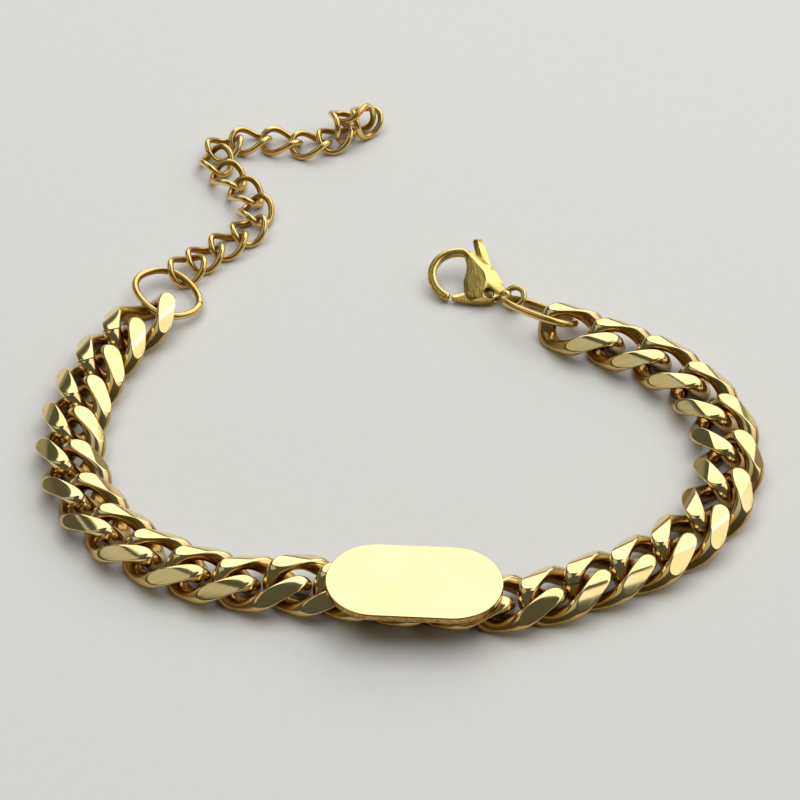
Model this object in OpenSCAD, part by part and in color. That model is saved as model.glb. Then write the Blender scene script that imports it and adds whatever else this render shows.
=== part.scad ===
// Curb link bracelet with a plain name plate, an extender chain and a lobster clasp.
// It lies open on a flat surface, z = 0. Millimetres. The plate faces up, the ends point to +Y.

/* [Curb links] */
// Length of a link along its wire's middle line
link_len = 9.2; // [8.6:0.1:10]
// Width of a link along its wire's middle line
link_wide = 6.1; // [5.6:0.1:6.6]
// Radius of the links' wire
link_wire = 1.17; // [1:0.01:1.2]
// Twist of a link's ends, degrees
link_twist = 54; // [45:1:58]
// Thickness left after both faces are filed flat
link_thick = 3.8; // [3.4:0.1:4.2]
// Slope of the filed shoulders, degrees
shoulder_slope = 38; // [30:1:45]
// Depth filed off the shoulders
shoulder_cut = 0.4; // [0.1:0.05:0.5]
// Fall of the upper face towards the shoulders, degrees
crown_slope = 8; // [0:1:10]
// Half width of the level strip on top
crown_start = 1.2; // [0.6:0.1:1.6]

/* [How the chain lies] */
// Bends from the plate to the clasp end, degrees
right_bends = [-3, 16, 16, 0, 9, 14, 17, 17, 17, 17, 17, 17, 3];
// Bends from the plate to the extender end, degrees
left_bends = [6, 0, -6, 14, 10, 15, 16, 14, 14, 12, 6, 12, 8];
// Centre distances of the links beside the plate and beyond, clasp side
right_pitch = [5.85, 5.85, 5.8, 5.8, 5.85, 5.9, 6.4, 6.35, 6.25, 6.35, 6.45, 6.45, 6.45];
// The same, extender side
left_pitch = [5.8, 5.8, 5.8, 5.8, 5.8, 6.3, 6.2, 6.15, 6.15, 5.9, 5.95, 6.1, 6.15];
// Tilt of the first link left of the plate, degrees
first_tilt = 8; // [0:1:8]

/* [Name plate] */
// Length of the plate
plate_len = 20.2; // [18:0.1:24]
// Width of the plate
plate_wide = 11.6; // [9:0.1:12]
// Thickness of the plate
plate_thick = 0.8; // [0.6:0.1:1.2]
// Height of the plate's underside
plate_low = 3.95; // [3.9:0.05:4.2]
// Break of the plate's top edge
plate_edge = 0.15; // [0.05:0.05:0.3]
// Diameter of a solder pad
pad_dia = 1.6; // [1:0.1:2]

/* [Extender chain and jump rings] */
// Radius of the extender's wire
thin_wire = 0.34; // [0.3:0.02:0.36]
// Radius of the jump rings' wire
ring_wire = 0.42; // [0.35:0.01:0.45]
// Directions from one extender link to the next, degrees
thin_dirs = [43, 49, 78, 112, 125, 116, 73, 21, -3, -9, 24];
// Centre distances of the same links
thin_pitch = [3.9, 3.8, 3.9, 4, 4.2, 3.9, 3.3, 3.7, 4.1, 4];

/* [Lobster clasp] */
// Radius of the hook's middle line
hook_radius = 3.3; // [3.2:0.05:3.5]
// Radius of the same line towards the tip
tip_radius = 4; // [3.6:0.1:4.2]
// Radius of the hook's wire
hook_wire = 0.55; // [0.45:0.01:0.55]
// Height of the body's ridge above its middle
ridge_high = 1.4; // [1.2:0.05:1.6]
// Thickness of the body at its rim
rim_thick = 1.1; // [1:0.05:1.2]
// Thickness of the lever
lever_thick = 0.6; // [0.5:0.05:0.6]
// Radius of the rivet
rivet_radius = 0.45; // [0.35:0.01:0.5]

/* [Hidden] */
$fn = 48;
gold = [0.93, 0.76, 0.38];
satin = [0.85, 0.68, 0.3];

link_shape = [link_len / 2, link_wide / 2, 2.35, link_twist, 0.87];
link_ring = [16, 6, link_wire];
thin_shape = [2.55, 2.05, 2.2, 42, 0.87];
thin_ring = [14, 5, thin_wire];
half = link_thick / 2;
shoulder_reach = 0.67 * link_wide / 2 + link_wire - shoulder_cut;

// Puts the origin under the middle of the whole bracelet
shift = [0.22, -7.48, 0];

middle = [1.55, -36.2, -4];
plate_at = [1.6, -36.2];
plate_turn = -3.5;
plate_top = plate_low + plate_thick;

thin_z = 1.17;
thin_start = [-24.9, 26.4];

clasp_at = [7.1, 21.7, 1.82];
clasp_turn = [18, -3, 0];
pivot = [4.1, -3.4];
loop_at = [6.15, -3.35, 0.08];
hook_at = [0.26, 0.2];
slot_half = lever_thick / 2 + 0.1;
head_low = 0.6;
// Ridge of the body: x, y and part of the ridge's height
ridge = [[1.8, 2.55, 0.61], [2.5, 1.4, 0.735], [3.6, -0.4, 0.95], [3.83, -1.5, 1], [3.5, -2.95, 0.93],
  [3.1, -4.05, 0.85], [4.3, -4.05, 0.61]];
under_part = 0.6;
recess_radius = 0.7;

// Curb chain: a point is [x, y, heading]; side is 1 towards the clasp and -1 towards the extender
function bend(side, i) = side > 0 ? right_bends[i - 1] : left_bends[i - 1];
function pitch(side, i) = side > 0 ? right_pitch[i - 1] : left_pitch[i - 1];
function walk(side, i) = i == 0 ? middle :
  let (p = walk(side, i - 1), b = side * bend(side, i), s = side * pitch(side, i), d = p[2] + b / 2)
  [p[0] + s * cos(d), p[1] + s * sin(d), p[2] + b];

// Extender chain: each link points halfway between its two neighbours' directions
function thin_walk(i) = i == 0 ? thin_start :
  thin_walk(i - 1) + thin_pitch[i - 1] * [cos(thin_dirs[i - 1]), sin(thin_dirs[i - 1])];
function thin_turn(i) = i == 0 ? thin_dirs[0] + 8 : (thin_dirs[i - 1] + thin_dirs[i]) / 2;

// Middle line of a twisted oval link: [half length, half width, squareness, twist, spread of twist]
function power(v, e) = sign(v) * pow(abs(v), e);
function line_at(s, g) =
  let (t = s + 6 * sin(2 * s), u = power(cos(t), 2 / g[2]), w = g[1] * power(sin(t), 2 / g[2]),
    f = -g[3] * power(u, g[4]))
  [g[0] * u, w * cos(f), w * sin(f), f];
function xyz(p) = [p[0], p[1], p[2]];
function unit(v) = v / norm(v);

// One closed sweep of a many-sided wire along that line
module twisted_link(g, ring) {
  n = ring[0];
  m = ring[1];
  points = [for (i = [0:n - 1])
    let (s = i * 360 / n, c = line_at(s, g),
      along = unit(xyz(line_at(s + 4, g)) - xyz(line_at(s - 4, g))),
      up = [0, -sin(c[3]), cos(c[3])],
      normal = unit(up - (up * along) * along),
      out = cross(along, normal))
    for (j = [0:m - 1]) xyz(c) + ring[2] * (cos(j * 360 / m) * out + sin(j * 360 / m) * normal)];
  faces = [for (i = [0:n - 1], j = [0:m - 1])
    let (a = i * m + j, b = i * m + (j + 1) % m, c = ((i + 1) % n) * m + j, d = ((i + 1) % n) * m + (j + 1) % m)
    each [[a, d, c], [a, b, d]]];
  polyhedron(points, faces);
}

// A curb link filed flat below, slightly crowned above and sloped on its four shoulders
module curb_link() intersection() {
  side = shoulder_reach / sin(shoulder_slope);
  flat = (shoulder_reach - half * cos(shoulder_slope)) / sin(shoulder_slope);
  fall = tan(crown_slope);
  edge = (shoulder_reach - (half + crown_start * fall) * cos(shoulder_slope))
    / (sin(shoulder_slope) - fall * cos(shoulder_slope));
  edge_high = half - (edge - crown_start) * fall;
  twisted_link(link_shape, link_ring);
  rotate([90, 0, 90]) linear_extrude(height = link_len + 6, center = true)
    polygon([[crown_start, half], [edge, edge_high], [side, 0], [flat, -half],
      [-flat, -half], [-side, 0], [-edge, edge_high], [-crown_start, half]]);
}

module placed_link(side, i, tilt = [0, 0], lift = 0) {
  p = walk(side, i);
  translate(shift + [p[0], p[1], half + lift]) rotate([tilt[0], tilt[1], p[2]]) curb_link();
}

// Two half rings and two straights
module oval_ring(length, width, wire) {
  straight = length - width;
  for (e = [-1, 1])
    translate([e * straight / 2, 0, 0]) rotate(-90 * e) rotate_extrude(angle = 180) translate([width / 2, 0]) circle(r = wire);
  for (e = [-1, 1])
    translate([0, e * width / 2, 0]) rotate([0, 90, 0]) cylinder(h = straight, r = wire, center = true);
}

module stadium(length, width, high, low_in = 0, top_in = 0) {
  r = width / 2;
  run = length / 2 - r;
  for (e = [-1, 1]) translate([e * run, 0, 0]) cylinder(h = high, r1 = r - low_in, r2 = r - top_in);
  rotate([90, 0, 90]) linear_extrude(height = 2 * run, center = true)
    polygon([[-r + low_in, 0], [r - low_in, 0], [r - top_in, high], [-r + top_in, high]]);
}

// Plate, the three links under it and the solder between them
module name_plate() color(gold) {
  translate(shift + [plate_at[0], plate_at[1], plate_low]) rotate(plate_turn) {
    stadium(plate_len, plate_wide, plate_thick - plate_edge);
    translate([0, 0, plate_thick - plate_edge]) stadium(plate_len, plate_wide, plate_edge, 0, plate_edge);
  }
  placed_link(1, 0);
  placed_link(1, 1);
  placed_link(-1, 1, [first_tilt / 2, 3], 0.25);
  for (k = [[1, 0], [1, 1]], e = [-1, 1]) {
    p = walk(k[0], k[1]);
    translate(shift + [p[0], p[1], link_thick - 0.5]) rotate(p[2]) translate([-1.7 * e, 2 * e, 0])
      cylinder(h = plate_low - link_thick + 0.9, d = pad_dia);
  }
}

module left_link(i) color(gold) placed_link(-1, i + 1, i == 1 ? [first_tilt, 3] : [0, 0], i == 1 ? 0.3 : 0);
module right_link(i) color(gold) placed_link(1, i + 1);

module left_link_01() left_link(1);
module left_link_02() left_link(2);
module left_link_03() left_link(3);
module left_link_04() left_link(4);
module left_link_05() left_link(5);
module left_link_06() left_link(6);
module left_link_07() left_link(7);
module left_link_08() left_link(8);
module left_link_09() left_link(9);
module left_link_10() left_link(10);
module left_link_11() left_link(11);
module left_link_12() left_link(12);
module right_link_01() right_link(1);
module right_link_02() right_link(2);
module right_link_03() right_link(3);
module right_link_04() right_link(4);
module right_link_05() right_link(5);
module right_link_06() right_link(6);
module right_link_07() right_link(7);
module right_link_08() right_link(8);
module right_link_09() right_link(9);
module right_link_10() right_link(10);
module right_link_11() right_link(11);
module right_link_12() right_link(12);

module extender_ring() color(gold)
  translate(shift + [-29.29, 18.41, 1.68]) rotate([-7, 4, -56]) oval_ring(9.2, 7.2, ring_wire);

module thin_link(at, turn) translate(shift + at) rotate(turn) twisted_link(thin_shape, thin_ring);

module extender_chain() color(gold) {
  thin_link([-27.15, 23.5, 1.55], [12, -2, 54]);
  for (i = [0:len(thin_pitch)]) {
    p = thin_walk(i);
    thin_link([p[0], p[1], thin_z], [0, 0, thin_turn(i)]);
  }
  thin_link([-8.63, 51.57, 1.22], [0, -2, 46]);
  thin_link([-7.76, 53.34, 2.03], [46, 4, 78]);
  thin_link([-5.81, 54.03, 2.45], [-67, 12, 29]);
  thin_link([-4.7, 54.43, 1.96], [33, -3, 72]);
}

module clasp_link_ring() color(gold)
  translate(shift + [17.44, 14.26, 2.14]) rotate([-32, -2, -34]) oval_ring(9.6, 6.2, ring_wire);

module clasp_ring() color(gold)
  translate(shift + [14.4, 18.1, 1.36]) rotate([24, -18, -6]) rotate_extrude() translate([1.27, 0]) circle(r = 0.31);

module clasp_place() translate(shift + clasp_at) rotate(clasp_turn) children();

module body_outline() polygon([[1.2, 3.2], [0.95, 1], [0.9, -0.8], [0.95, -2.5], [1.2, -3.5], [1.85, -4.2],
  [3.05, -4.35], [4.3, -4.25], [5.5, -3.55], [5.95, -2.7], [5.85, -1.8], [5.35, -0.45], [4.6, 0.75],
  [3.6, 1.85], [2.4, 2.9], [1.6, 3.4]]);

// Rim and ridge joined by flat filed faces, lower below
module body_blank() hull() {
  linear_extrude(height = rim_thick, center = true) body_outline();
  for (p = ridge) translate([p[0], p[1], -p[2] * ridge_high * under_part])
    cylinder(h = p[2] * ridge_high * (1 + under_part), r = 0.03, $fn = 6);
}

module clasp_body() color(gold) clasp_place() {
  difference() {
    body_blank();
    translate([-4.6, 1.1, 0]) cylinder(h = 6, r = 6, center = true, $fn = 96);
    linear_extrude(height = 2 * slot_half, center = true)
      polygon([[-1, -6], [5.1, -6], [5.1, -3.9], [5.15, -2.6], [5.3, -1.5], [5.6, -0.6], [8, 4], [2.4, 4],
        [2.45, -0.2], [0, -0.9]]);
    translate([pivot[0], pivot[1], 0]) cylinder(h = 6, r = rivet_radius + 0.03, center = true);
    for (e = [0, 180]) rotate([0, e, 0])
      translate([(e == 0 ? 1 : -1) * pivot[0], pivot[1], head_low]) cylinder(h = 2, r = recess_radius);
  }
  translate(hook_at) {
    rotate(68) rotate_extrude(angle = 112, $fn = 96) translate([hook_radius, 0]) circle(r = hook_wire);
    translate([tip_radius - hook_radius, 0, 0]) {
      rotate(179.9) rotate_extrude(angle = 54, $fn = 96) translate([tip_radius, 0]) circle(r = hook_wire);
      rotate(233) translate([tip_radius, 0, 0]) sphere(r = hook_wire + 0.03);
    }
  }
  translate(loop_at) difference() {
    rotate([90, 0, 0]) cylinder(h = 0.6, r = 0.86, center = true);
    rotate([90, 0, 0]) cylinder(h = 2, r = 0.56, center = true);
  }
}

module clasp_lever() color(satin) clasp_place() difference() {
  linear_extrude(height = lever_thick, center = true)
    polygon([[-0.62, -3.65], [0.3, -3.95], [1.8, -4.25], [3, -4.35], [4.1, -4.22], [4.7, -3.95], [4.9, -3.4],
      [4.8, -2.8], [4.4, -1.6], [4.45, 1.2], [4, 3.25], [3.5, 5.1], [3.25, 5.35], [2.45, 5.3], [2.28, 5.05],
      [2.6, 3.25], [3.2, -1.2], [2.8, -2.4], [1.2, -2.7], [-0.55, -3.12], [-0.66, -3.25]]);
  translate([pivot[0], pivot[1], 0]) cylinder(h = 3, r = rivet_radius + 0.05, center = true);
}

module clasp_rivet() color(satin) clasp_place() translate([pivot[0], pivot[1], 0]) {
  cylinder(h = 2 * head_low + 0.1, r = rivet_radius, center = true);
  for (e = [0, 180]) rotate([e, 0, 0]) translate([0, 0, head_low + 0.02]) cylinder(h = 0.17, r1 = 0.63, r2 = 0.48);
}

name_plate();
left_link_01();
left_link_02();
left_link_03();
left_link_04();
left_link_05();
left_link_06();
left_link_07();
left_link_08();
left_link_09();
left_link_10();
left_link_11();
left_link_12();
right_link_01();
right_link_02();
right_link_03();
right_link_04();
right_link_05();
right_link_06();
right_link_07();
right_link_08();
right_link_09();
right_link_10();
right_link_11();
right_link_12();
extender_ring();
extender_chain();
clasp_link_ring();
clasp_ring();
clasp_body();
clasp_lever();
clasp_rivet();
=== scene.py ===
"""Looks of the curb link bracelet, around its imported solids.

Lengths are in millimetres and angles in degrees until a mesh is made. x goes right, y away from the camera.
"""

import math

import bmesh
import bpy
from mathutils import Euler, Matrix, Vector


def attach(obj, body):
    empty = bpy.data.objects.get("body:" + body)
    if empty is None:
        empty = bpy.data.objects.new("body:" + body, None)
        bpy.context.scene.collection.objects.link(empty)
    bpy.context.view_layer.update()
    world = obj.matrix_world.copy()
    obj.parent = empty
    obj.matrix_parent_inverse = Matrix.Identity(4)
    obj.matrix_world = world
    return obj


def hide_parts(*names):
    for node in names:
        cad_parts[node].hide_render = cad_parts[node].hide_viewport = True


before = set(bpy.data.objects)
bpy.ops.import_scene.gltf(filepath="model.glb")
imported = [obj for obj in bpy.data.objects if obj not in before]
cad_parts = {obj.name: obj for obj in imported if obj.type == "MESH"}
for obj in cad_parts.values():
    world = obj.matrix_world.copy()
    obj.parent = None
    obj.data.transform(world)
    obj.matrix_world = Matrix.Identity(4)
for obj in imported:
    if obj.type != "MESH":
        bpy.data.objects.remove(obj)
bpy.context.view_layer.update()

MM = 0.001
SCENE = bpy.context.scene

# Sizes and places shared with the solids
SHIFT = Vector((0.22, -7.48, 0.0))  # puts the middle of the whole on the origin
LINK_HALF = 1.9  # half the thickness of a filed link
UNFILED = 20.0  # a plane this far out files nothing
CURB = {"Half length": 4.6, "Half width": 3.05, "Squareness": 2.35, "Twist": 54.0,
        "Wire across": 1.17, "Wire high": 1.06, "Half thickness": LINK_HALF,
        "Crown slope": 8.0, "Crown start": 1.2, "Shoulder slope": 38.0, "Shoulder reach": 2.88,
        "Stations": 216, "Sides": 44}
THIN = {"Half length": 2.55, "Half width": 2.05, "Squareness": 2.2, "Twist": 42.0,
        "Wire across": 0.41, "Wire high": 0.41, "Half thickness": UNFILED,
        "Crown slope": 0.0, "Crown start": 0.0, "Shoulder slope": 38.0, "Shoulder reach": UNFILED,
        "Stations": 96, "Sides": 20}

# Chain: x, y and heading of its middle link, then the bend and pitch from each link to the next, outwards
RIGHT, LEFT = 1, -1
MIDDLE = (1.55, -36.2, -4.0)
BENDS = {RIGHT: [-3, 16, 16, 0, 9, 14, 17, 17, 17, 17, 17, 17, 3],
         LEFT: [6, 0, -6, 14, 10, 15, 16, 14, 14, 12, 6, 12, 8]}
PITCHES = {RIGHT: [5.85, 5.85, 5.8, 5.8, 5.85, 5.9, 6.4, 6.35, 6.25, 6.35, 6.45, 6.45, 6.45],
           LEFT: [5.8, 5.8, 5.8, 5.8, 5.8, 6.3, 6.2, 6.15, 6.15, 5.9, 5.95, 6.1, 6.15]}
# Links that lean, by side and count from the middle: tilt about x and y, and lift
LEVEL = ((0, 0), 0.0)
LEANING = {(LEFT, 1): ((4, 3), 0.25), (LEFT, 2): ((8, 3), 0.3)}
# Share of the way round the wire where a link's joint shows
JOINTS = {"left_link_07": 0.96, "left_link_08": 0.98, "left_link_11": 0.94, "left_link_12": 0.94,
          "right_link_03": 0.48}
NO_JOINT = -1.0

# Extender: a first link that leans in its ring, a level run, and a heap. A loose link is a point and a turn
EXTENDER_FIRST = ((-27.15, 23.5, 1.55), (12, -2, 54))
EXTENDER_START = (-24.9, 26.4)
EXTENDER_HEADINGS = [59, 43, 49, 78, 112, 125, 116, 73, 21, -3, -9, 24]  # into and out of each level link
EXTENDER_PITCHES = [3.9, 3.8, 3.9, 4, 4.2, 3.9, 3.3, 3.7, 4.1, 4]
EXTENDER_HIGH = 1.17
EXTENDER_HEAP = [((-8.63, 51.57, 1.22), (0, -2, 46)), ((-7.76, 53.34, 2.03), (46, 4, 78)),
                 ((-5.81, 54.03, 2.45), (-67, 12, 29)), ((-4.7, 54.43, 1.96), (33, -3, 72))]
EXTENDER_LIFT = 0.065  # the round wire is thicker than the solid and still clears the floor

# Plate, and the solder pads under it: radius and height, and their place on a link
PLATE = {"length": 20.2, "width": 11.6, "low": 3.95, "high": 4.75, "upper round": 0.16, "lower round": 0.12}
PLATE_PLACE = (Matrix.Translation(SHIFT + Vector((1.6, -36.2, 0.0)))
               @ Matrix.Rotation(math.radians(-3.5), 4, "Z"))
PAD_PROFILE = [(0.8, 3.3), (0.8, 3.62), (0.84, 3.78), (1.0, 3.92), (1.0, 4.1)]
PAD_AT = (-1.7, 2.0)

# Clasp, in its own frame: x towards its tail, z up out of its flat side
CLASP = (Matrix.Translation(SHIFT + Vector((7.1, 21.7, 1.82)))
         @ Euler((math.radians(18), math.radians(-3), 0)).to_matrix().to_4x4())
OUTLINE = [(1.2, 3.2), (0.95, 1), (0.9, -0.8), (0.95, -2.5), (1.2, -3.5), (1.85, -4.2), (3.05, -4.35),
           (4.3, -4.25), (5.5, -3.55), (5.95, -2.7), (5.85, -1.8), (5.35, -0.45), (4.6, 0.75), (3.6, 1.85),
           (2.4, 2.9), (1.6, 3.4)]
RIM_HALF = 0.55
RIDGE = [(1.8, 2.55, 0.61), (2.5, 1.4, 0.735), (3.6, -0.4, 0.95), (3.83, -1.5, 1.0), (3.5, -2.95, 0.93),
         (3.1, -4.05, 0.85), (4.3, -4.05, 0.61)]  # x, y and part of the full height
RIDGE_HIGH = 1.4
UNDER_PART = 0.6  # height of the ridge below, as a part of the one above
BITE = {"at": (-4.6, 1.1), "radius": 6.0}
SLOT = [(-1, -6), (5.1, -6), (5.1, -3.9), (5.15, -2.6), (5.3, -1.5), (5.6, -0.6), (8, 4), (2.4, 4),
        (2.45, -0.2), (0, -0.9)]
SLOT_HALF = 0.4
BEYOND = 4  # cutters reach this far, past the body
PIVOT = Vector((4.1, -3.4, 0.0))
RECESS = {"radius": 0.7, "floor": 0.6}
RIVET_HEAD = [(0.45, -0.7), (0.45, 0.02), (0.6, 0.02), (0.62, 0.06), (0.57, 0.12), (0.42, 0.17), (0.2, 0.19),
              (0.04, 0.195)]  # radius, and height over the floor of the recess
HOOK = {"at": Vector((0.26, 0.2, 0.0)), "radius": 3.3, "tip radius": 4.0, "wire": 0.55, "squareness": 2.7,
        "root angle": 50, "full angle": 78, "tip angle": 236, "tip round": 5.4, "root inset": 0.75,
        "root thinning": 0.5}
LOOP = {"at": Vector((6.15, -3.35, 0.08)), "radius": 0.71, "thick": 0.16, "wide": 0.32, "squareness": 8 / 3}
LEVER = [(-0.62, -3.65), (0.3, -3.95), (1.8, -4.25), (3, -4.35), (4.1, -4.22), (4.7, -3.95), (4.9, -3.4),
         (4.8, -2.8), (4.4, -1.6), (4.45, 1.2), (4.15, 2.5), (2.73, 2.5), (3.2, -1.2), (2.8, -2.4),
         (1.2, -2.7), (-0.55, -3.12), (-0.66, -3.25)]
LEVER_HALF = 0.3
TAB = [(4.3, 2.0), (4, 3.25), (3.5, 5.1), (3.25, 5.35), (2.45, 5.3), (2.28, 5.05), (2.6, 3.25), (2.78, 2.0)]
TAB_RIDGE = [(2.92, 5.0), (3.2, 3.2), (3.4, 2.0)]
TAB_RIM_HIGH, TAB_RIDGE_HIGH = 0.12, 0.45

# Fineness of the turned and swept pieces, and how far their edges are broken
HOOK_STEP, TIP_STEPS, HOOK_SIDES = 2, 8, 32
LOOP_STATIONS, LOOP_SIDES = 48, 20
DRUM_SIDES, PAD_SIDES, RIVET_SIDES, PLATE_END_STEPS = 192, 32, 48, 64
BODY_BREAK, LEVER_BREAK, BREAK_STEPS = 0.06, 0.05, 3
FLAT_ANGLE, SHARP_ANGLE = 0.5, 4.0  # under the first, faces are one; from the second, an edge is broken


def walk(side, count):
    """Place and heading of a curb link, counted from the middle of the plate."""
    x, y, heading = MIDDLE
    for bend, pitch in list(zip(BENDS[side], PITCHES[side]))[:count]:
        course = math.radians(heading + side * bend / 2)
        x, y = x + side * pitch * math.cos(course), y + side * pitch * math.sin(course)
        heading += side * bend
    return x, y, heading


def turns(count):
    """Angles of equal steps once round, in radians."""
    return [math.tau * i / count for i in range(count)]


def circle(radius, height, sides):
    """Points of a level circle round the z axis."""
    return [Vector((radius * math.cos(a), radius * math.sin(a), height)) for a in turns(sides)]


# One wrapper for the maths of shaders and of Geometry Nodes
class Wire:
    """A node's output that takes Python's operators."""

    def __init__(self, graph, socket):
        self.graph, self.socket = graph, socket

    def math(self, operation, *others):
        vector = "VECTOR" in {self.socket.type} | {o.socket.type for o in others if isinstance(o, Wire)}
        kind = "ShaderNodeVectorMath" if vector else "ShaderNodeMath"
        return self.graph.add(kind, {"operation": operation}, [self, *others])

    def __add__(self, other):
        return self.math("ADD", other)

    def __sub__(self, other):
        return self.math("SUBTRACT", other)

    def __mul__(self, other):
        return self.math("MULTIPLY", other)

    def __pow__(self, other):
        return self.math("POWER", other)

    def __neg__(self):
        return self * -1.0

    def __abs__(self):
        return self.math("ABSOLUTE")

    def __radd__(self, other):
        return self + other

    def __rmul__(self, other):
        return self * other

    def __rsub__(self, other):
        return -self + other

    def sin(self):
        return self.math("SINE")

    def cos(self):
        return self.math("COSINE")

    def sign(self):
        return self.math("SIGN")

    def sqrt(self):
        return self.math("SQRT")

    def least(self, other):
        return self.math("MINIMUM", other)

    def most(self, other):
        return self.math("MAXIMUM", other)

    def cross(self, other):
        return self.math("CROSS_PRODUCT", other)

    def unit(self):
        return self.math("NORMALIZE")

    def dot(self, other):
        return self.graph.add("ShaderNodeVectorMath", {"operation": "DOT_PRODUCT"}, [self, other], "Value")

    def times(self, amount):
        """A vector scaled by a number."""
        return self.graph.add("ShaderNodeVectorMath", {"operation": "SCALE"}, {0: self, "Scale": amount})

    def xyz(self):
        return [self.graph.add("ShaderNodeSeparateXYZ", {}, [self], axis) for axis in "XYZ"]


class Graph:
    """Adds nodes to one tree."""

    def __init__(self, tree):
        self.tree = tree

    def add(self, kind, settings=None, values=(), output=0):
        """One output of a new node, after its settings, then its sockets' values or links."""
        node = self.tree.nodes.new(kind)
        for name, value in (settings or {}).items():
            setattr(node, name, value)
        pairs = values.items() if isinstance(values, dict) else enumerate(values)
        for name, value in pairs:
            if isinstance(value, Wire):
                self.tree.links.new(value.socket, node.inputs[name])
            else:
                node.inputs[name].default_value = value
        return Wire(self, node.outputs[output])

    def vector(self, x, y, z):
        return self.add("ShaderNodeCombineXYZ", {}, [x, y, z])

    def ease(self, value, low, high):
        """0 below low, 1 above high, smooth between."""
        return self.add("ShaderNodeMapRange", {"interpolation_type": "SMOOTHSTEP"},
                        {"Value": value, "From Min": low, "From Max": high})

    def mix(self, amount, first, second):
        """A colour between two others."""
        return self.add("ShaderNodeMix", {"data_type": "RGBA"}, {0: amount, 6: first, 7: second}, 2)

    def noise(self, where, scale, detail=2.0, rough=0.5):
        return self.add("ShaderNodeTexNoise", {"noise_dimensions": "3D"},
                        {"Vector": where, "Scale": scale, "Detail": detail, "Roughness": rough}, "Fac")


# Geometry Nodes: every link, jump ring and extender link is one bent, closed wire
LINK_INPUTS = {"Half length": "Float", "Half width": "Float", "Squareness": "Float", "Twist": "Float",
               "Wire across": "Float", "Wire high": "Float", "Half thickness": "Float",
               "Crown slope": "Float", "Crown start": "Float", "Shoulder slope": "Float",
               "Shoulder reach": "Float", "Joint": "Float", "Stations": "Int", "Sides": "Int",
               "Finish": "Material"}
END_CROWDING = 6.0  # degrees by which stations move towards a link's ends
ROLL_LEAD = 0.15  # how much of the twist comes early, near the middle of a link
LINE_STEP = 0.8  # degrees to each side, over which the wire's direction is taken
SHOULDER_SOFTNESS, CROWN_SOFTNESS = 0.04, 0.3  # how round the filed planes' edges are
FACE_MARGIN = 0.01  # how far under the upper and lower planes a spot counts as filed
SEAM = 0.002  # points closer than this are one
INWARD_WEIGHTS = (1.0, 1.0, 0.4)  # of x, y and z in the direction into a link


def bent_wire(g, size, along, around):
    """Point on the skin of a link's round wire, at a share of the way along and around the wire."""
    power = 2.0 * (size["Squareness"] ** -1.0)
    twist = size["Twist"] * math.radians(1)

    def line(turn):
        """Point on the wire's middle line and its roll, at a turn round the link in radians."""
        spread = turn + math.radians(END_CROWDING) * (turn * 2.0).sin()
        cosine, sine = spread.cos(), spread.sin()
        u = cosine.sign() * abs(cosine) ** power
        w = size["Half width"] * sine.sign() * abs(sine) ** power
        roll = -1.0 * twist * u * ((1.0 + ROLL_LEAD) - ROLL_LEAD * u * u)
        return g.vector(size["Half length"] * u, w * roll.cos(), w * roll.sin()), roll

    turn = along * math.tau
    step = math.radians(LINE_STEP)
    point, roll = line(turn)
    ahead = (line(turn + step)[0] - line(turn - step)[0]).unit()
    up = g.vector(0.0, -roll.sin(), roll.cos())
    normal = (up - ahead.times(up.dot(ahead))).unit()
    out = ahead.cross(normal)
    angle = around * math.tau
    point = point + out.times(angle.cos() * size["Wire across"])
    return point + normal.times(angle.sin() * size["Wire high"])


def filed(g, size, point):
    """A point of the wire once filed, and how deep it lay under the face's plane and the shoulder's."""

    def push(depth, softness):
        """How far a point is pushed back by a filed plane that it passes by this depth."""
        return 0.5 * (depth + (depth * depth + softness ** 2).sqrt())

    x, y, z = point.xyz()
    slope = size["Shoulder slope"] * math.radians(1)
    shoulder = abs(y) * slope.sin() + abs(z) * slope.cos() - size["Shoulder reach"]
    back = push(shoulder, SHOULDER_SOFTNESS)
    y, z = y - y.sign() * slope.sin() * back, z - z.sign() * slope.cos() * back
    crown = size["Crown slope"] * math.radians(1)
    rise = (abs(y) - size["Crown start"]) * crown.sin()
    upper = rise + (z - size["Half thickness"]) * crown.cos()
    back = push(upper, CROWN_SOFTNESS)
    y, z = y - y.sign() * crown.sin() * back, z - crown.cos() * back
    z = z.most(-1.0 * size["Half thickness"])
    face = upper.most(abs(z) - size["Half thickness"] + FACE_MARGIN)
    return g.vector(x, y, z), face, shoulder


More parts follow.
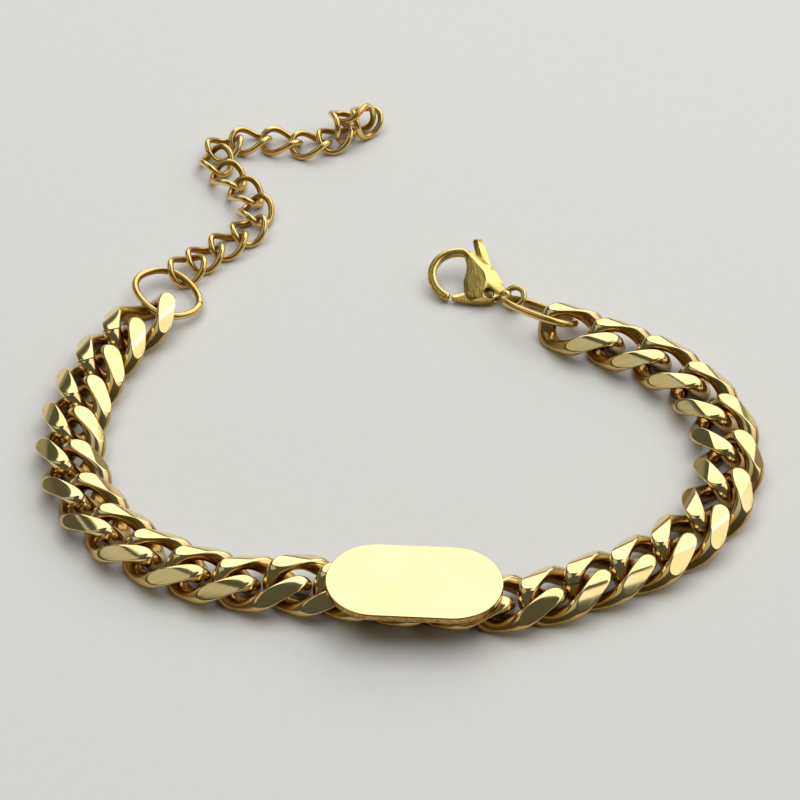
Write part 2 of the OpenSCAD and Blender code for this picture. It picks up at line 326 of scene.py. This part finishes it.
def link_tree():
    """A twisted oval of wire, filed flat and sloped at its shoulders, set on each incoming point."""
    tree = bpy.data.node_groups.new("Filed wire link", "GeometryNodeTree")
    tree.interface.new_socket("Geometry", in_out="OUTPUT", socket_type="NodeSocketGeometry")
    tree.interface.new_socket("Places", in_out="INPUT", socket_type="NodeSocketGeometry")
    for name, kind in LINK_INPUTS.items():
        tree.interface.new_socket(name, in_out="INPUT", socket_type="NodeSocket" + kind)
    g = Graph(tree)
    entry = tree.nodes.new("NodeGroupInput")
    size = {socket.name: Wire(g, socket) for socket in entry.outputs if socket.name}

    grid = {"Vertices X": size["Stations"] + 1.0, "Vertices Y": size["Sides"] + 1.0}
    mesh = g.add("GeometryNodeMeshGrid", {}, grid, "Mesh")
    uv = Wire(g, mesh.socket.node.outputs["UV Map"])
    along, around, _ = uv.xyz()
    mesh = g.add("GeometryNodeStoreNamedAttribute", {"data_type": "FLOAT2", "domain": "CORNER"},
                 {"Geometry": mesh, "Name": "UVMap", "Value": uv})
    place, face, shoulder = filed(g, size, bent_wire(g, size, along, around))
    mesh = g.add("GeometryNodeSetPosition", {}, {"Geometry": mesh, "Position": place.times(MM)})
    mesh = g.add("GeometryNodeMergeByDistance", {}, {"Geometry": mesh, "Distance": SEAM * MM})

    # What the finish reads: depth under each filed plane, how much a spot faces into the link, how low it is
    facing = g.add("GeometryNodeInputNormal", {}, [], "Normal")
    spot = g.add("GeometryNodeInputPosition", {}, [])
    marks = {"face_depth": face, "shoulder_depth": shoulder,
             "inward": -1.0 * (spot * INWARD_WEIGHTS).unit().dot(facing),
             "low_side": (-1.0 / MM) * spot.xyz()[2], "joint_at": size["Joint"]}
    for name, value in marks.items():
        mesh = g.add("GeometryNodeStoreNamedAttribute", {"data_type": "FLOAT", "domain": "POINT"},
                     {"Geometry": mesh, "Name": name, "Value": value})
    mesh = g.add("GeometryNodeSetShadeSmooth", {}, {"Geometry": mesh, "Shade Smooth": True})

    turn = g.add("GeometryNodeInputNamedAttribute", {"data_type": "FLOAT_VECTOR"}, {"Name": "turn"})
    links = g.add("GeometryNodeInstanceOnPoints", {},
                  {"Points": size["Places"], "Instance": mesh, "Rotation": turn})
    links = g.add("GeometryNodeRealizeInstances", {}, {"Geometry": links})
    links = g.add("GeometryNodeSetMaterial", {}, {"Geometry": links, "Material": size["Finish"]})
    leave = tree.nodes.new("NodeGroupOutput")
    tree.links.new(links.socket, leave.inputs[0])
    return tree


LINK_TREE = link_tree()


# Pieces
def kept(piece, metal, nodes, body="bracelet"):
    """Gives a finished piece its metal, sets it on its body, and hides the parts that it stands for."""
    if metal:
        piece.data.materials.clear()
        piece.data.materials.append(metal)
    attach(piece, body)
    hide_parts(*nodes)
    return piece


def evaluated(piece):
    """Makes what the modifiers give the piece's own mesh."""
    depsgraph = bpy.context.evaluated_depsgraph_get()
    shape = bpy.data.meshes.new_from_object(piece.evaluated_get(depsgraph), preserve_all_data_layers=True,
                                            depsgraph=depsgraph)
    piece.modifiers.clear()
    piece.data = shape
    return shape


def wire_piece(name, places, sizes, metal, nodes, joint=NO_JOINT):
    """One piece of bent wire for each place, a pair of point and turn."""
    cloud = bpy.data.meshes.new(name)
    cloud.from_pydata([(Vector(at) + SHIFT) * MM for at, _ in places], [], [])
    turned = cloud.attributes.new("turn", "FLOAT_VECTOR", "POINT")
    for item, (_, turn) in zip(turned.data, places):
        item.vector = [math.radians(angle) for angle in turn]
    piece = bpy.data.objects.new(name, cloud)
    SCENE.collection.objects.link(piece)
    modifier = piece.modifiers.new("Wire", "NODES")
    modifier.node_group = LINK_TREE
    values = {**sizes, "Finish": metal, "Joint": joint}
    for socket in LINK_TREE.interface.items_tree:
        if socket.in_out == "INPUT" and socket.name in values:
            modifier[socket.identifier] = values[socket.name]
    evaluated(piece).name = name
    return kept(piece, None, nodes)


def in_scene(name, shape, smooth=False):
    """Ends a bmesh as an object of the scene, with its faces outwards."""
    bmesh.ops.recalc_face_normals(shape, faces=shape.faces)
    data = bpy.data.meshes.new(name)
    shape.to_mesh(data)
    shape.free()
    for face in data.polygons:
        face.use_smooth = smooth
    piece = bpy.data.objects.new(name, data)
    SCENE.collection.objects.link(piece)
    return piece


def lofted(name, skins, closed=False):
    """A smooth piece of skins, each over rings of points with the same count; an open skin has flat ends."""
    shape = bmesh.new()
    for rings in skins:
        rows = [[shape.verts.new(point * MM) for point in points] for points in rings]
        for low, high in zip(rows, rows[1:] + (rows[:1] if closed else [])):
            for i in range(len(low)):
                j = (i + 1) % len(low)
                shape.faces.new((low[i], low[j], high[j], high[i]))
        if not closed:
            shape.faces.new(rows[0][::-1])
            shape.faces.new(rows[-1])
    return in_scene(name, shape, smooth=True)


# Finishes: colours of the metals, of painted shade and of what collects in a joint, then bump and the edges
# of marks
GOLD = (0.90, 0.69, 0.30, 1.0)
GOLD_PALE = (0.94, 0.76, 0.40, 1.0)
# painted shade colour for the insides and lower sides of the wire and the plate's sides
PAINTED_SHADE_GOLD = (0.35, 0.165, 0.012, 1.0)
THIN_GOLD_LOW = (0.92, 0.62, 0.19, 1.0)
THIN_GOLD_HIGH = (1.0, 0.78, 0.34, 1.0)
TAIL_GOLD_HIGH = (1.0, 0.86, 0.48, 1.0)
PLATE_GOLD_LOW = (0.92, 0.73, 0.36, 1.0)
SATIN_LOW = (0.90, 0.63, 0.15, 1.0)
SATIN_HIGH = (1.0, 0.81, 0.31, 1.0)
# painted shade colour of the clasp's lower faces
SATIN_UNDER_SHADE = (0.36, 0.20, 0.03, 1.0)
# painted shade colour of the clasp's left faces
SATIN_LEFT_SHADE = (0.62, 0.44, 0.10, 1.0)
SATIN_SCRATCH = (0.34, 0.21, 0.04, 1.0)
RIVET_LOW = (0.22, 0.16, 0.05, 1.0)
RIVET_HIGH = (0.46, 0.36, 0.14, 1.0)
RESIDUE = (0.09, 0.045, 0.012, 1.0)
BUMP_HIGH = 0.02
FILED_EDGE = (0.0, 0.05)  # depths between which a filed plane's polish begins
JOINT_SLIT = (0.0022, 0.0045)  # shares of the wire's length between which a joint's slit ends


def begun(name):
    """A new material, its graph, its shader, and the place on the piece in millimetres."""
    material = bpy.data.materials.new(name)
    material.use_nodes = True
    g = Graph(material.node_tree)
    where = g.add("ShaderNodeTexCoord", {}, [], "Object").times(1.0 / MM)
    return material, g, material.node_tree.nodes["Principled BSDF"], where


def feed(g, shader, colour, roughness, height, depth):
    """Joins what changes over the surface of a metal to its shader."""
    bump = g.add("ShaderNodeBump", {}, {"Strength": depth, "Distance": BUMP_HIGH * MM, "Height": height})
    for socket, value in (("Base Color", colour), ("Roughness", roughness), ("Normal", bump)):
        g.tree.links.new(value.socket, shader.inputs[socket])
    shader.inputs["Metallic"].default_value = 1.0


def wire_gold(name, low=GOLD, high=GOLD_PALE, rough=0.06, underside_shade=0.9):
    """Polished plating on wire: painted shade on its lower side and where it faces into the link, with fine
    rub marks along the wire.
    """
    material, g, shader, where = begun(name)
    along, around, _ = g.add("ShaderNodeTexCoord", {}, [], "UV").xyz()

    def mark(attribute):
        return g.add("ShaderNodeAttribute", {"attribute_name": attribute}, [], "Fac")

    broad = g.noise(where, 0.45, 3.0)
    fine = g.noise(where, 5.0, 3.0)
    rub = g.noise(g.vector(along * 22.0, around * 260.0, 0.0), 1.0, 2.0)
    on_plane = g.ease(mark("face_depth"), *FILED_EDGE).most(g.ease(mark("shoulder_depth"), *FILED_EDGE))
    # Painted shade: darker on the wire's lower side away from the filed planes, and where it faces into the
    # link
    underside = g.ease(mark("low_side"), -1.3, 0.7) * (1.0 - on_plane) * underside_shade
    recess = (g.ease(mark("inward"), 0.1, 0.8) * (0.75 + 0.5 * broad)).most(underside)
    joint = 1.0 - g.ease(abs(along - mark("joint_at")), *JOINT_SLIT)
    colour = g.mix(g.ease(broad, 0.3, 0.75), low, high)
    colour = g.mix(recess.least(1.0) * 0.9, colour, PAINTED_SHADE_GOLD)
    colour = g.mix(joint * 0.85, colour, RESIDUE)
    roughness = rough + 0.07 * broad + 0.05 * fine + 0.10 * recess - 0.03 * on_plane + 0.3 * joint
    feed(g, shader, colour, roughness, rub * 0.5 + fine * 0.3 - joint * 6.0, 0.12)
    return material


def plate_gold(name):
    """Lapped flat plate: an even pale mirror with hairlines along it, with painted shade round its sides."""
    material, g, shader, where = begun(name)
    x, y, z = where.xyz()
    broad = g.noise(where, 0.12, 2.0)
    hair = g.noise(g.vector(x * 0.4, y * 22.0, z * 22.0), 1.0, 3.0)
    specks = g.ease(g.noise(where, 7.0, 1.0), 0.70, 0.78)
    colour = g.mix(g.ease(broad, 0.3, 0.7), PLATE_GOLD_LOW, GOLD_PALE)
    # Painted shade: faces turned away from up mix towards the shade colour
    side_shade = 1.0 - g.ease(g.add("ShaderNodeNewGeometry", {}, [], "Normal").xyz()[2], 0.25, 0.8)
    mottle = 0.7 + 0.3 * g.ease(g.noise(where, 1.8, 3.0), 0.35, 0.65)
    colour = g.mix(side_shade * mottle, colour, PAINTED_SHADE_GOLD)
    roughness = 0.12 + 0.05 * broad + 0.05 * hair + 0.10 * specks
    feed(g, shader, colour, roughness, hair * 0.4 - specks * 0.4, 0.06)
    return material


def satin_gold(name, low=SATIN_LOW, high=SATIN_HIGH, rough=0.14):
    """Cast clasp metal: soft streaks along it, a mottled grain, painted shade on its lower and left faces,
    and filing marks on its left faces.
    """
    material, g, shader, where = begun(name)
    x, y, z = where.xyz()
    streak = g.noise(g.vector(x * 9.0 + y * 2.5, y * 0.9 - x * 0.25, z * 6.0), 1.0, 3.0)
    grain = g.noise(where, 9.0, 3.0)
    broad = g.noise(where, 0.7, 2.0)
    file_marks = g.noise(g.vector(x * 6.5 + y * 0.8, y * 0.6, z * 2.0), 1.0, 3.0)
    facing = g.add("ShaderNodeNewGeometry", {}, [], "Normal").xyz()
    leftward = g.ease(-facing[0], 0.12, 0.32)
    under = 1.0 - g.ease(facing[2], -0.15, 0.55)
    scratch = leftward * g.ease(file_marks, 0.42, 0.58)
    colour = g.mix(g.ease(0.6 * streak + 0.4 * broad, 0.3, 0.7), low, high)
    # Painted shade: faces turned down or sideways mix towards a darker colour
    colour = g.mix(under * 0.75, colour, SATIN_UNDER_SHADE)
    # Painted shade: faces turned left are darker; the filing marks on them, below, are real scratches
    colour = g.mix(leftward * 0.35, colour, SATIN_LEFT_SHADE)
    colour = g.mix(scratch * 0.7, colour, SATIN_SCRATCH)
    roughness = rough + 0.12 * streak + 0.08 * grain + 0.1 * scratch
    feed(g, shader, colour, roughness, streak * 0.4 + grain * 0.2 - scratch * 1.6, 0.2)
    return material


LINK_GOLD = wire_gold("polished_link_gold")
THIN_GOLD = wire_gold("polished_thin_wire_gold", THIN_GOLD_LOW, THIN_GOLD_HIGH, 0.17, 0.45)
TAIL_GOLD = wire_gold("polished_tail_ring_gold", GOLD, TAIL_GOLD_HIGH, 0.14, 0.4)
PLATE_GOLD = plate_gold("lapped_plate_gold")
CLASP_GOLD = satin_gold("brushed_clasp_gold")
RIVET_GOLD = satin_gold("dark_rivet_gold", RIVET_LOW, RIVET_HIGH, 0.25)


# Curb chain
def curb_place(side, count):
    """Point and turn of a curb link, counted from the middle of the plate."""
    x, y, heading = walk(side, count)
    tilt, lift = LEANING.get((side, count), LEVEL)
    return (x, y, LINK_HALF + lift), (*tilt, heading)


for side, word in ((LEFT, "left"), (RIGHT, "right")):
    for number in range(1, len(PITCHES[side])):
        node = f"{word}_link_{number:02d}"
        wire_piece(f"polished_{node}", [curb_place(side, number + 1)], CURB, LINK_GOLD, [node],
                   JOINTS.get(node, NO_JOINT))

hidden_links = [curb_place(RIGHT, 0), curb_place(RIGHT, 1), curb_place(LEFT, 1)]
wire_piece("links_under_plate", hidden_links, CURB, LINK_GOLD, ["name_plate"])


# Extender and jump rings
def extender_places():
    """Point and turn of every extender link, from its ring to the heap."""
    places = [EXTENDER_FIRST]
    x, y = EXTENDER_START
    for before, after, pitch in zip(EXTENDER_HEADINGS, EXTENDER_HEADINGS[1:], EXTENDER_PITCHES + [0]):
        places.append(((x, y, EXTENDER_HIGH), (0, 0, (before + after) / 2)))
        course = math.radians(after)
        x, y = x + pitch * math.cos(course), y + pitch * math.sin(course)
    return [((x, y, z + EXTENDER_LIFT), turn) for (x, y, z), turn in places + EXTENDER_HEAP]


def ring(name, node, at, turn, half_length, half_width, squareness, wire, joint, metal=THIN_GOLD):
    """A flat jump ring of round wire."""
    sizes = {**THIN, "Half length": half_length, "Half width": half_width, "Squareness": squareness,
             "Twist": 0.0, "Wire across": wire, "Wire high": wire, "Stations": 128, "Sides": 24}
    return wire_piece(name, [(at, turn)], sizes, metal, [node], joint)


wire_piece("extender_links", extender_places(), THIN, THIN_GOLD, ["extender_chain"])
ring("extender_jump_ring", "extender_ring", (-29.29, 18.41, 1.68), (-7, 4, -56),
     half_length=4.6, half_width=3.6, squareness=2.3, wire=0.45, joint=0.1)
ring("clasp_jump_ring", "clasp_link_ring", (17.44, 14.26, 2.14), (-32, -2, -34),
     half_length=4.8, half_width=3.1, squareness=2.5, wire=0.46, joint=0.1)
ring("clasp_tail_ring", "clasp_ring", (14.4, 18.1, 1.36), (24, -18, -6),
     half_length=1.27, half_width=1.27, squareness=2.0, wire=0.38, joint=0.6, metal=TAIL_GOLD)


# Plate and its solder
def stadium(inset, height):
    """Ring of points of the plate's outline, set in from its edge."""
    radius, run = PLATE["width"] / 2 - inset, (PLATE["length"] - PLATE["width"]) / 2
    points = []
    for end in (1, -1):
        for i in range(PLATE_END_STEPS + 1):
            angle = math.pi * (i / PLATE_END_STEPS - 0.5)
            along, across = run + radius * math.cos(angle), radius * math.sin(angle)
            points.append(PLATE_PLACE @ Vector((end * along, end * across, height)))
    return points


def plate_rings():
    """The plate's outline at each level, from its underside over the rounded edges to its face."""
    low, high, under, upper = (PLATE[key] for key in ("low", "high", "lower round", "upper round"))
    levels = [(1.0, low), (under + 0.1, low), (under, low)]
    for angle in (0.4, 0.8, 1.2, math.pi / 2):
        levels.append((under * (1 - math.sin(angle)), low + under * (1 - math.cos(angle))))
    levels += [(0.0, low + 0.3), (0.0, high - upper - 0.1), (0.0, high - upper)]
    for angle in (0.3, 0.6, 0.9, 1.2, 1.4):
        levels.append((upper * (1 - math.cos(angle)), high - upper * (1 - math.sin(angle))))
    levels += [(upper, high), (upper + 0.06, high), (upper + 0.3, high), (3.0, high)]
    return [stadium(inset, height) for inset, height in levels]


def pad_rings(count, end):
    """A blob of solder between the plate and one shoulder of a link under it."""
    x, y, heading = walk(RIGHT, count)
    offset = Matrix.Rotation(math.radians(heading), 4, "Z") @ Vector((PAD_AT[0] * end, PAD_AT[1] * end, 0.0))
    middle = SHIFT + Vector((x, y, 0.0)) + offset
    return [[middle + point for point in circle(radius, height, PAD_SIDES)]
            for radius, height in PAD_PROFILE]


kept(lofted("plate_face", [plate_rings()]), PLATE_GOLD, ["name_plate"])
pads = [pad_rings(count, end) for count in (0, 1) for end in (-1, 1)]
kept(lofted("solder_pads", pads), LINK_GOLD, ["name_plate"])


# Clasp: cut solids, in its own frame until they are worked
def solid(name, layers):
    """Convex skin over outlines, each at a height below and above."""
    shape = bmesh.new()
    for outline, low, high in layers:
        for x, y in outline:
            for height in (low, high):
                shape.verts.new((x, y, height))
    made = bmesh.ops.convex_hull(shape, input=shape.verts)
    spare = {item for key in ("geom_unused", "geom_interior") for item in made[key]}
    bmesh.ops.delete(shape, geom=[v for v in shape.verts if v in spare or not v.link_faces], context="VERTS")
    bmesh.ops.dissolve_limit(shape, angle_limit=math.radians(FLAT_ANGLE), verts=shape.verts,
                             edges=shape.edges)
    return in_scene(name, shape)


def prism(name, outline, low, high):
    """An outline with upright sides."""
    shape = bmesh.new()
    base, top = ([shape.verts.new((x, y, height)) for x, y in outline] for height in (low, high))
    shape.faces.new(base)
    shape.faces.new(top)
    for i in range(len(outline)):
        j = (i + 1) % len(outline)
        shape.faces.new((base[i], base[j], top[j], top[i]))
    return in_scene(name, shape)


def drum(name, middle, radius, low, high):
    """A round cutter."""
    x, y = middle[:2]
    outline = [(x + radius * math.cos(a), y + radius * math.sin(a)) for a in turns(DRUM_SIDES)]
    return prism(name, outline, low, high)


def worked(piece, cutters, edge_break):
    """Cuts a solid, breaks its edges, and sets it in the clasp's place."""
    for cutter in cutters:
        cut = piece.modifiers.new("Cut", "BOOLEAN")
        cut.operation, cut.solver, cut.object = "DIFFERENCE", "EXACT", cutter
    bevel = piece.modifiers.new("Edges", "BEVEL")
    bevel.width, bevel.segments = edge_break, BREAK_STEPS
    bevel.limit_method, bevel.angle_limit = "ANGLE", math.radians(SHARP_ANGLE)
    piece.modifiers.new("Facets", "WEIGHTED_NORMAL").weight = 90
    shape = evaluated(piece)
    for cutter in cutters:
        bpy.data.objects.remove(cutter)
    for face in shape.polygons:
        face.use_smooth = True
    shape.transform(Matrix.Scale(MM, 4) @ CLASP)
    return piece


def swept(name, stations, across, high, squareness, up, sides, closed=False):
    """Skin over stations of point, outward and scale in the clasp's frame, rounded square in section."""

    def squared(part):
        """A sine or cosine, drawn out towards a square."""
        return math.copysign(abs(part) ** (2 / squareness), part)

    rings = []
    for point, out, scale in stations:
        rings.append([CLASP @ (point + out * (squared(math.cos(a)) * across * scale)
                               + up * (squared(math.sin(a)) * high * scale)) for a in turns(sides)])
    return lofted(name, [rings], closed)


def outward(angle):
    """Direction in the clasp's flat."""
    return Vector((math.cos(math.radians(angle)), math.sin(math.radians(angle)), 0.0))


def hook_stations():
    """The hook's wire from its thin root in the body, round into a wider bow, to its rounded tip."""
    root, full, tip = HOOK["root angle"], HOOK["full angle"], HOOK["tip angle"]
    stations = []
    for angle in range(root, 180, HOOK_STEP):
        thin = max(0.0, (full - angle) / (full - root)) ** 1.5
        point = HOOK["at"] + outward(angle) * (HOOK["radius"] - HOOK["root inset"] * thin)
        stations.append((point, outward(angle), 1.0 - HOOK["root thinning"] * thin))
    bow = HOOK["at"] + Vector((HOOK["tip radius"] - HOOK["radius"], 0.0, 0.0))
    for angle in range(180, tip + 1, HOOK_STEP):
        stations.append((bow + outward(angle) * HOOK["tip radius"], outward(angle), 1.0))
    for step in range(1, TIP_STEPS + 1):
        rounding = step / TIP_STEPS * math.pi / 2
        angle = tip + HOOK["tip round"] * math.sin(rounding)
        scale = max(0.02, math.cos(rounding) ** 0.55)
        stations.append((bow + outward(angle) * HOOK["tip radius"], outward(angle), scale))
    return stations


def rivet_rings(side):
    """The rivet's head on one side of the clasp, from inside the body outwards."""
    levels = [(radius, side * (RECESS["floor"] + rise)) for radius, rise in RIVET_HEAD]
    return [[CLASP @ (PIVOT + point) for point in circle(radius, height, RIVET_SIDES)]
            for radius, height in levels]


ridge_layers = [([(x, y)], -part * RIDGE_HIGH * UNDER_PART, part * RIDGE_HIGH) for x, y, part in RIDGE]
shell = solid("clasp_shell", [(OUTLINE, -RIM_HALF, RIM_HALF)] + ridge_layers)
cutters = [drum("bite", BITE["at"], BITE["radius"], -BEYOND, BEYOND),
           prism("slot", SLOT, -SLOT_HALF, SLOT_HALF),
           drum("recess_above", PIVOT, RECESS["radius"], RECESS["floor"], BEYOND),
           drum("recess_below", PIVOT, RECESS["radius"], -BEYOND, -RECESS["floor"])]
kept(worked(shell, cutters, BODY_BREAK), CLASP_GOLD, ["clasp_body"])

hook = swept("clasp_hook", hook_stations(), HOOK["wire"], HOOK["wire"], HOOK["squareness"],
             up=Vector((0.0, 0.0, 1.0)), sides=HOOK_SIDES)
kept(hook, CLASP_GOLD, ["clasp_body"])

loop_outward = [Vector((math.cos(a), 0.0, math.sin(a))) for a in turns(LOOP_STATIONS)]
loop_stations = [(LOOP["at"] + out * LOOP["radius"], out, 1.0) for out in loop_outward]
tail_loop = swept("clasp_tail_loop", loop_stations, LOOP["thick"], LOOP["wide"], LOOP["squareness"],
                  up=Vector((0.0, 1.0, 0.0)), sides=LOOP_SIDES, closed=True)
kept(tail_loop, CLASP_GOLD, ["clasp_body"])

gate = prism("clasp_gate_lever", LEVER, -LEVER_HALF, LEVER_HALF)
kept(worked(gate, [], LEVER_BREAK), CLASP_GOLD, ["clasp_lever"], "lever")
tab = solid("clasp_thumb_tab", [(TAB, -LEVER_HALF, TAB_RIM_HIGH), (TAB_RIDGE, -LEVER_HALF, TAB_RIDGE_HIGH)])
kept(worked(tab, [], LEVER_BREAK), CLASP_GOLD, ["clasp_lever"], "lever")

heads = lofted("rivet_heads", [rivet_rings(1), rivet_rings(-1)])
kept(heads, RIVET_GOLD, ["clasp_rivet"])


# Floor, light and camera; their sizes and places are in metres, unless they say otherwise
FLOOR_HALF = 1.5
FLOOR_LOW, FLOOR_HIGH = (0.70, 0.695, 0.68, 1.0), (0.74, 0.735, 0.72, 1.0)
WHITE, WARM_WHITE, YELLOW_WHITE = (1.0, 1.0, 1.0), (1.0, 0.99, 0.97), (1.0, 0.99, 0.93)
LIGHT_AWAY = 1.0
ROOM_FRONT, ROOM_BACK = (0.11, 0.095, 0.07, 1.0), (0.30, 0.29, 0.25, 1.0)
ROOM_ABOVE = (0.085, 0.09, 0.075, 1.0)
TARGET = SHIFT * MM
CAMERA_AT = Vector((0.0, -299.58, 265.05))  # millimetres from the target: 400 away, 41.5 degrees up


def pale_floor():
    """Plain, faintly mottled matt ground."""
    material, g, shader, where = begun("plain_pale_floor")
    colour = g.mix(g.noise(where, 0.6, 3.0), FLOOR_LOW, FLOOR_HIGH)
    g.tree.links.new(colour.socket, shader.inputs["Base Color"])
    shader.inputs["Roughness"].default_value = 0.75
    return material


def room(name):
    """What the gold mirrors: a room that is dark in front, lighter behind and dim overhead."""
    world = bpy.data.worlds.new(name)
    world.use_nodes = True
    g = Graph(world.node_tree)
    _, depth, height = g.add("ShaderNodeTexCoord", {}, [], "Generated").xyz()
    horizon = g.mix(g.ease(depth, -0.3, 0.5), ROOM_FRONT, ROOM_BACK)
    sky = g.mix(g.ease(height, 0.12, 0.4), horizon, ROOM_ABOVE)
    background = world.node_tree.nodes["Background"]
    g.tree.links.new(sky.socket, background.inputs["Color"])
    background.inputs["Strength"].default_value = 1.0
    return world


def aimed(item, place):
    """Sets a light or the camera at a place, aimed at the bracelet."""
    item.location = Vector(place)
    item.rotation_euler = (TARGET - item.location).to_track_quat("-Z", "Y").to_euler()
    SCENE.collection.objects.link(item)
    return item


def softbox(name, azimuth, elevation, size, glow, tint=WHITE, reflected=True):
    """A rectangle of even glow round the bracelet. Azimuth 0 is straight behind it, 90 is to its right."""
    light = bpy.data.lights.new(name, "AREA")
    light.shape, light.size, light.size_y = "RECTANGLE", *size
    light.energy, light.color = glow * math.pi * size[0] * size[1], tint
    across, up = math.radians(azimuth), math.radians(elevation)
    bearing = Vector((math.sin(across) * math.cos(up), math.cos(across) * math.cos(up), math.sin(up)))
    box = aimed(bpy.data.objects.new(name, light), TARGET + bearing * LIGHT_AWAY)
    box.visible_glossy = reflected
    return box


floor_mesh = bpy.data.meshes.new("floor")
corners = [(x * FLOOR_HALF, y * FLOOR_HALF, 0.0) for x, y in ((-1, -1), (1, -1), (1, 1), (-1, 1))]
floor_mesh.from_pydata(corners, [], [(0, 1, 2, 3)])
floor_mesh.materials.append(pale_floor())
floor = bpy.data.objects.new("floor", floor_mesh)
SCENE.collection.objects.link(floor)

softbox("back_softbox", azimuth=19, elevation=40, size=(1.25, 0.95), glow=1.45, tint=WARM_WHITE)
softbox("right_softbox", azimuth=84, elevation=44, size=(0.8, 0.95), glow=1.05, tint=WARM_WHITE)
softbox("left_softbox", azimuth=-92, elevation=56, size=(0.9, 0.7), glow=0.42, tint=YELLOW_WHITE)
softbox("overhead_fill", azimuth=-20, elevation=80, size=(1.2, 1.2), glow=1.35, reflected=False)

SCENE.world = room("soft_studio")

lens = bpy.data.cameras.new("camera")
lens.lens, lens.sensor_width = 147.4, 36.0
lens.clip_start, lens.clip_end = 0.01, 10.0
SCENE.camera = aimed(bpy.data.objects.new("camera", lens), (SHIFT + CAMERA_AT) * MM)
SCENE.view_settings.view_transform = "Standard"
